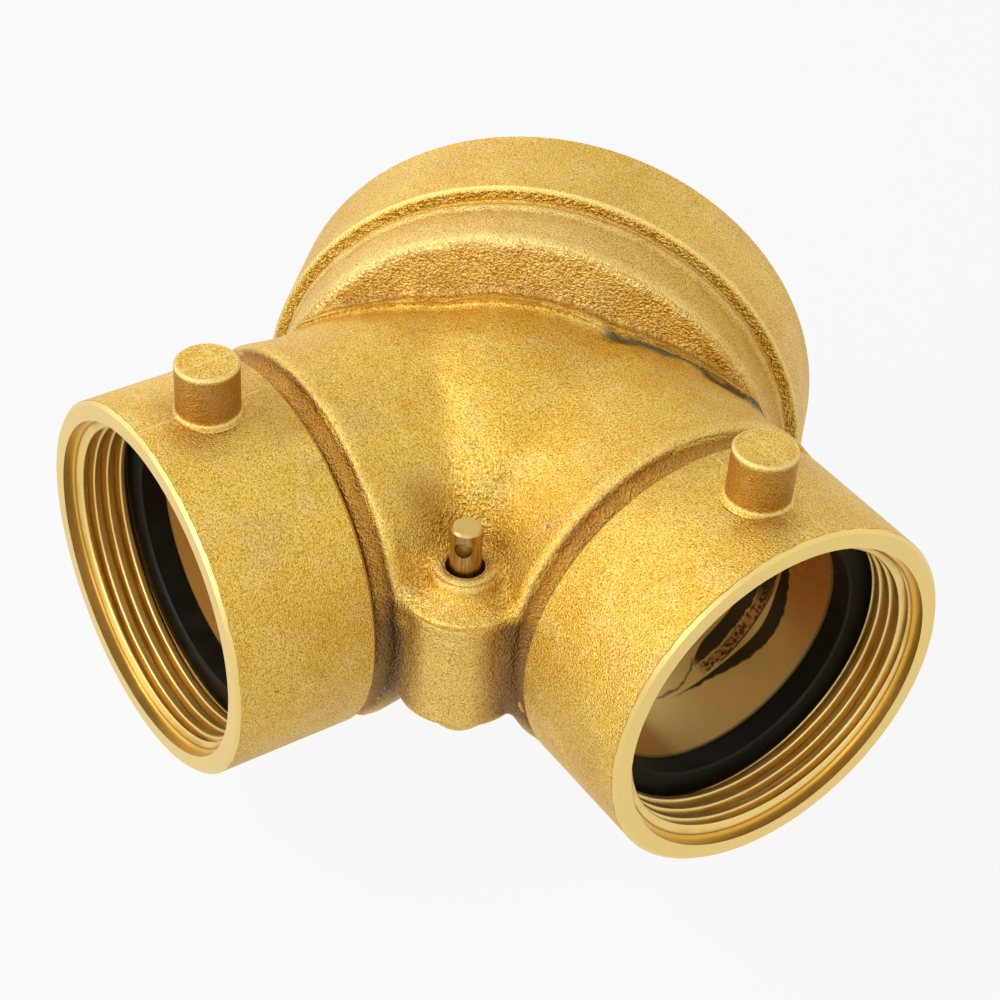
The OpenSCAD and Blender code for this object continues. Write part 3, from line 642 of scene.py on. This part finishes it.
for side, label, rests_at in ((-1, "left", 0.0), (1, "right", right_rests_at)):
    swivel_brass, tree, shader, place = material(label + "_swivel_brass")
    arm = use(tree, arm_tree, Vector=place, Side=side)
    level_e = maths(tree, "MULTIPLY_ADD", arm["Z"], -np.sin(rests_at), arm["E"])
    along_lug = maths(tree, "SUBTRACT", arm["S"], lug_s)
    lug = maths(tree, "SQRT", maths(tree, "MULTIPLY_ADD", level_e, level_e, both(tree, along_lug, along_lug)))
    height = maths(tree, "ABSOLUTE", arm["Z"])
    # Painted highlights: crown on the lug's top edge and root round its foot. Shaft paints the lug's upright sides
    # brown
    crown_highlight = both(tree, near(tree, lug, lug_r - 0.3, 0.9), ramp(tree, height, lug_top - 1.2, lug_top - 0.5))
    root = both(tree, near(tree, lug, lug_r + 0.30, 0.30), ramp(tree, height, 47.0, 45.4))
    shaft = both(tree, near(tree, lug, lug_r, 0.5), ramp(tree, height, 44.8, 46.0),
                 ramp(tree, height, lug_top, lug_top - 1.5))
    wander = maths(tree, "MULTIPLY_ADD", noise(tree, place, 260.0), 0.5, -0.25)
    face = ramp(tree, maths(tree, "ADD", arm["S"], wander), rim_s - 0.95, rim_s - 0.75)
    inside = ramp(tree, arm["R"], swivel_r - 1.2, swivel_r - 1.6)
    bare = most(tree, inside, face)
    seam = maths(tree, "ADD", level_e, maths(tree, "MULTIPLY_ADD", noise(tree, place, 70.0), 1.6, -0.8))
    seam = both(tree, near(tree, seam, 0.0, 0.42), ramp(tree, arm["Z"], 20.0, 30.0), ramp(tree, arm["R"], 43.5, 44.0),
                ramp(tree, noise(tree, place, 240.0), 0.30, 0.50),
                maths(tree, "SUBTRACT", 1.0, shaft))
    behind = both(tree, ramp(tree, arm["S"], 84.0, 72.0), ramp(tree, arm["Z"], 30.0, 43.0))
    behind = both(tree, behind, ramp(tree, noise(tree, place, 60.0), 0.35, 0.65), 0.45)
    before = both(tree, ramp(tree, lug, 17.0, 7.0), ramp(tree, arm["S"], 86.0, 92.0), ramp(tree, arm["Z"], 30.0, 38.0),
                  ramp(tree, noise(tree, place, 130.0, 3.0), 0.30, 0.62), 0.55)
    brass = use(tree, brass_tree, Vector=place, Bare=bare, Hollow=most(tree, both(tree, shaft, 0.78), behind, before),
                Edge=most(tree, crown_highlight, both(tree, root, 0.9), both(tree, seam, 0.9)))
    # Painted shadow: the relief groove between the gasket and the thread is painted dark brown
    relief_shadow = both(tree, ramp(tree, arm["S"], 87.6, 86.4), ramp(tree, arm["R"], 40.9, 40.4))
    colour = blend(tree, both(tree, relief_shadow, inside, 0.9), brass["Color"], BROWN)
    raised = maths(tree, "MULTIPLY_ADD", seam, 0.20, brass["Height"])
    finish_with(tree, shader, colour, brass["Roughness"], raised, CAST_BUMP)
    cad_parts[label + "_swivel"].data.materials[0] = swivel_brass

# ---- Hose threads -----------------------------------------------------------
# The female hose thread of each swivel, single-point cut at 7.5 threads to the
# inch, right-handed, starting close behind the plain lip. It stands inward from
# the swivel's wall, which lies at the root of the thread.


def thread_height(turns):
    """Height of a 60 degree thread, 0 in the groove and 1 on the crest, by the
    distance from the ridge's middle, with both corners slightly rounded."""
    foot, run, soft = 0.93, 0.50, 0.09  # where the flank starts, its width and its corners' softness
    off = np.abs(turns - np.floor(turns) - 0.5) * 2
    flank = (foot - off) / run
    lower = 0.5 * (flank + np.sqrt(flank ** 2 + soft ** 2))
    return np.clip(0.5 * (lower + 1 - np.sqrt((lower - 1) ** 2 + soft ** 2)), 0, 1)


def closed_band(around_steps, rows):
    """Quads of a grid that closes on itself both ways, facing outwards where its
    rows run round the section in the sense of a right-hand frame."""
    i, j = np.meshgrid(np.arange(around_steps), np.arange(rows), indexing="ij")

    def at(a, b):
        return (a % around_steps) * rows + b % rows

    return np.stack([at(i, j), at(i + 1, j), at(i + 1, j + 1), at(i, j + 1)], -1).reshape(-1, 4)


def threaded_liner(name, root_r, depth, pitch, start, stop, fade, lead, taper, wall_r, around_steps, along_step, place):
    """A ring whose inside is a helical ridge: the radius is the root's less depth
    times the thread's height, which rises over lead millimetres at the mouth
    (stop) and runs out over fade millimetres at the far end (start). Its outside
    is a plain cylinder of radius wall_r buried in the wall, taper is how much the
    radius loses per millimetre inwards, and place maps (u, v, w) to the part."""
    along = np.arange(start, stop + 1e-6, along_step)
    angle = np.linspace(0, 2 * np.pi, around_steps, endpoint=False)
    a, w = np.meshgrid(angle, along, indexing="ij")
    height = thread_height(w / pitch - a / (2 * np.pi))
    height = np.minimum(height, np.clip((stop - w) / lead, 0, 1))
    height = height * np.clip((w - start) / fade, 0, 1) ** 0.6
    radius = root_r - taper * (stop - w) - depth * height
    rows_r = np.concatenate([radius, np.full((around_steps, 2), wall_r)], 1)
    rows_w = np.concatenate([w, np.full((around_steps, 1), stop), np.full((around_steps, 1), start)], 1)
    rows_a = np.concatenate([a, a[:, :1], a[:, :1]], 1)
    points = place(rows_r * np.cos(rows_a), rows_r * np.sin(rows_a), rows_w).reshape(-1, 3)
    made = mesh_object(name, points, closed_band(around_steps, rows_r.shape[1]))
    groove = np.concatenate([1 - height, np.ones((around_steps, 2))], 1)
    paint(made, "groove", groove.ravel())
    return made


def on_arm(side):
    """Maps (u, v, w) to the part, with w out along an arm and v up."""
    def place(u, v, w):
        return np.stack([u * SLANT + side * w * SLANT, side * u * SLANT - w * SLANT - CROSSING, v], -1)
    return place


turned_brass, tree, shader, place = material("turned_brass")
groove = read(tree, "groove")
brass = use(tree, brass_tree, Vector=place, Bare=1.0)
oil = both(tree, ramp(tree, noise(tree, place, 55.0, 3.0), 0.46, 0.66), 0.55)
# Painted shade: the roots of the thread are painted brown
colour = blend(tree, both(tree, ramp(tree, groove, 0.70, 1.0), 0.85), brass["Color"], BROWN)
colour = blend(tree, both(tree, oil, ramp(tree, groove, 0.10, 0.80)), colour, DARK_GRAIN)
finish_with(tree, shader, colour, maths(tree, "ADD", brass["Roughness"], 0.06), brass["Height"], 0.0003)

for side, label in ((-1, "left"), (1, "right")):
    thread = threaded_liner(label + "_hose_thread", root_r=39.15, depth=2.1, pitch=3.387, start=86.3, stop=99.35,
                            fade=1.4, lead=0.9, taper=0.0, wall_r=39.4, around_steps=360, along_step=0.2,
                            place=on_arm(side))
    thread.data.materials.append(turned_brass)
    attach(thread, label + "_swivel")

# ---- Gaskets and seals ------------------------------------------------------
# Moulded black rubber rings: matt, with a little bloom and chalk dust on them.

rubber, tree, shader, place = material("rubber", 0.0)
dust = node(tree, "ShaderNodeTexVoronoi", None, Vector=place, Scale=420.0)
speck = ramp(tree, dust.outputs["Distance"], 0.10, 0.04)
picked = maths(tree, "GREATER_THAN", node(tree, "ShaderNodeSeparateColor", None,
                                          Color=dust.outputs["Color"]).outputs[0], 0.93)
bloom = ramp(tree, noise(tree, place, 140.0, 3.0), 0.40, 0.75)
shader.inputs["Specular IOR Level"].default_value = 0.22
colour = blend(tree, bloom, (0.0045, 0.004, 0.0035, 1), (0.010, 0.008, 0.006, 1))
colour = blend(tree, both(tree, speck, picked, 0.6), colour, (0.20, 0.18, 0.14, 1))
finish_with(tree, shader, colour, maths(tree, "MULTIPLY_ADD", bloom, 0.16, 0.46), noise(tree, place, 900.0), 0.00006)
for part in ("left_gasket", "right_gasket", "pin_seal", "left_facing", "right_facing"):
    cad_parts[part].data.materials[0] = rubber

# ---- Hinge pin --------------------------------------------------------------
# A length of drawn brass rod, brown along its sides, with its top end and the
# broken edge round it lighter.

pin_brass, tree, shader, place = material("pin_brass")
xyz = node(tree, "ShaderNodeSeparateXYZ", None, Vector=place).outputs
streaked = node(tree, "ShaderNodeVectorMath", {"operation": "MULTIPLY"}, i0=place, i1=(1.0, 1.0, 0.06)).outputs[0]
streak = noise(tree, streaked, 1400.0, 3.0, 0.6)
top = ramp(tree, xyz[2], 0.02835, 0.02862)
colour = blend(tree, ramp(tree, streak, 0.36, 0.66), (0.30, 0.165, 0.055, 1), (0.52, 0.33, 0.12, 1))
colour = blend(tree, top, colour, (0.60, 0.42, 0.13, 1))
rough = maths(tree, "MULTIPLY_ADD", streak, 0.12, 0.26)
finish_with(tree, shader, colour, rough, streak, 0.00005)
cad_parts["hinge_pin"].data.materials[0] = pin_brass

# ---- Race balls -------------------------------------------------------------
# Stainless steel balls, greased, sealed between the tails and the swivels.

ball_steel, tree, shader, place = material("ball_steel")
smear = ramp(tree, noise(tree, place, 300.0, 2.0), 0.45, 0.60)
colour = blend(tree, smear, (0.62, 0.62, 0.62, 1), (0.42, 0.38, 0.30, 1))
finish_with(tree, shader, colour, maths(tree, "MULTIPLY_ADD", smear, 0.25, 0.12), smear, 0.00001)
for part in ("left_race_balls", "right_race_balls"):
    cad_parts[part].data.materials[0] = ball_steel

# ---- Clapper and screws -----------------------------------------------------
# The swing disc is cast like the body. Its plates, bolt, washer and nut, and the
# plugs of the ball holes, are turned from bar and keep the marks of the tool.

clapper_brass, tree, shader, place = material("clapper_brass")
brass = use(tree, brass_tree, Vector=place, Coarse=0.4)
finish_with(tree, shader, brass["Color"], brass["Roughness"], brass["Height"], CAST_BUMP)
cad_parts["clapper"].data.materials[0] = clapper_brass

bar_brass, tree, shader, place = material("bar_brass")
brass = use(tree, brass_tree, Vector=place, Bare=0.85)
marks = noise(tree, node(tree, "ShaderNodeVectorMath", {"operation": "MULTIPLY"}, i0=place,
                         i1=(1.0, 1.0, 0.15)).outputs[0], 2200.0, 1.0)
finish_with(tree, shader, brass["Color"], brass["Roughness"], marks, 0.00006)
for part in ("left_facing_plate", "right_facing_plate", "clapper_bolt", "clapper_washer", "clapper_nut",
             "left_race_screw", "right_race_screw"):
    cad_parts[part].data.materials[0] = bar_brass

# ---- Outlet thread ----------------------------------------------------------
# The female pipe thread of the hub, 8 threads to the inch with the usual taper,
# cut from the rear face and running out before the front wall.


def in_hub(u, v, w):
    """Maps (u, v, w) to the part, with w back out of the outlet and v up."""
    return np.stack([-u, w, v], -1)


thread = threaded_liner("outlet_thread", root_r=55.93, depth=2.3, pitch=3.175, start=-31.0, stop=-0.4, fade=4.0,
                        lead=2.0, taper=1 / 32, wall_r=56.2, around_steps=340, along_step=0.25, place=in_hub)
thread.data.materials.append(turned_brass)
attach(thread, "body")

# ---- Studio -----------------------------------------------------------------
# A pale sheet under and behind the part, a pale world, and five soft lamps.


def sees_white(tree):
    """1 for the camera's, glossy and transmission rays, which see the background
    white, and 0 for the others."""
    seen = node(tree, "ShaderNodeLightPath").outputs
    return most(tree, seen["Is Camera Ray"], seen["Is Glossy Ray"], seen["Is Transmission Ray"])


reach = 3.0
floor_z = -0.0672  # just below the hub
corners = [[x * reach, y * reach, floor_z] for x, y in ((-1, -1), (1, -1), (1, 1), (-1, 1))]
corners = np.array(corners) / MM
floor = mesh_object("floor", corners, np.array([[0, 1, 2, 3]]), smooth=False)
sheet, tree, shader, _ = material("pale_sheet", 0.0)
shader.inputs["Base Color"].default_value = (0.9, 0.9, 0.9, 1)
shader.inputs["Roughness"].default_value = 0.9
white = node(tree, "ShaderNodeEmission", None, Color=(1, 1, 1, 1), Strength=1.0)
mix = node(tree, "ShaderNodeMixShader", None, i0=both(tree, sees_white(tree), 0.9), i1=shader.outputs[0],
           i2=white.outputs[0])
tree.links.new(mix.outputs[0], tree.nodes["Material Output"].inputs["Surface"])
floor.data.materials.append(sheet)

world = bpy.data.worlds.new("world")
bpy.context.scene.world = world
world.use_nodes = True
tree = world.node_tree
back_light = tree.nodes["Background"]
back_light.inputs["Color"].default_value = (1, 1, 1, 1)
back_light.inputs["Strength"].default_value = 0.2
plain_white = node(tree, "ShaderNodeBackground", None, Color=(1, 1, 1, 1), Strength=1.0)
mix = node(tree, "ShaderNodeMixShader", None, i0=sees_white(tree), i1=back_light.outputs[0], i2=plain_white.outputs[0])
tree.links.new(mix.outputs[0], tree.nodes["World Output"].inputs["Surface"])


lamp_size, lamp_away = 0.7, 1.2
middle = Vector((0, -0.06, 0))


def lamp(name, azimuth, elevation, power):
    """A square soft lamp that faces the part from a direction in degrees."""
    data = bpy.data.lights.new(name, "AREA")
    data.shape = "RECTANGLE"
    data.size, data.size_y, data.energy = lamp_size, lamp_size, power
    made = bpy.data.objects.new(name, data)
    towards = direction(*np.radians([azimuth, elevation]))
    made.location = middle + towards * lamp_away
    made.rotation_euler = (-towards).to_track_quat("-Z", "Y").to_euler()
    bpy.context.scene.collection.objects.link(made)


for name, azimuth, elevation, power in (
    ("low_left", -45, 8, 4.7), ("high_left", -70, 50, 3.9), ("front", 10, 30, 1.7), ("left", -110, 20, 0.8),
    ("behind_left", -150, 20, 1.1),
):
    lamp(name, azimuth, elevation, power)

bpy.context.scene.view_settings.view_transform = "Standard"
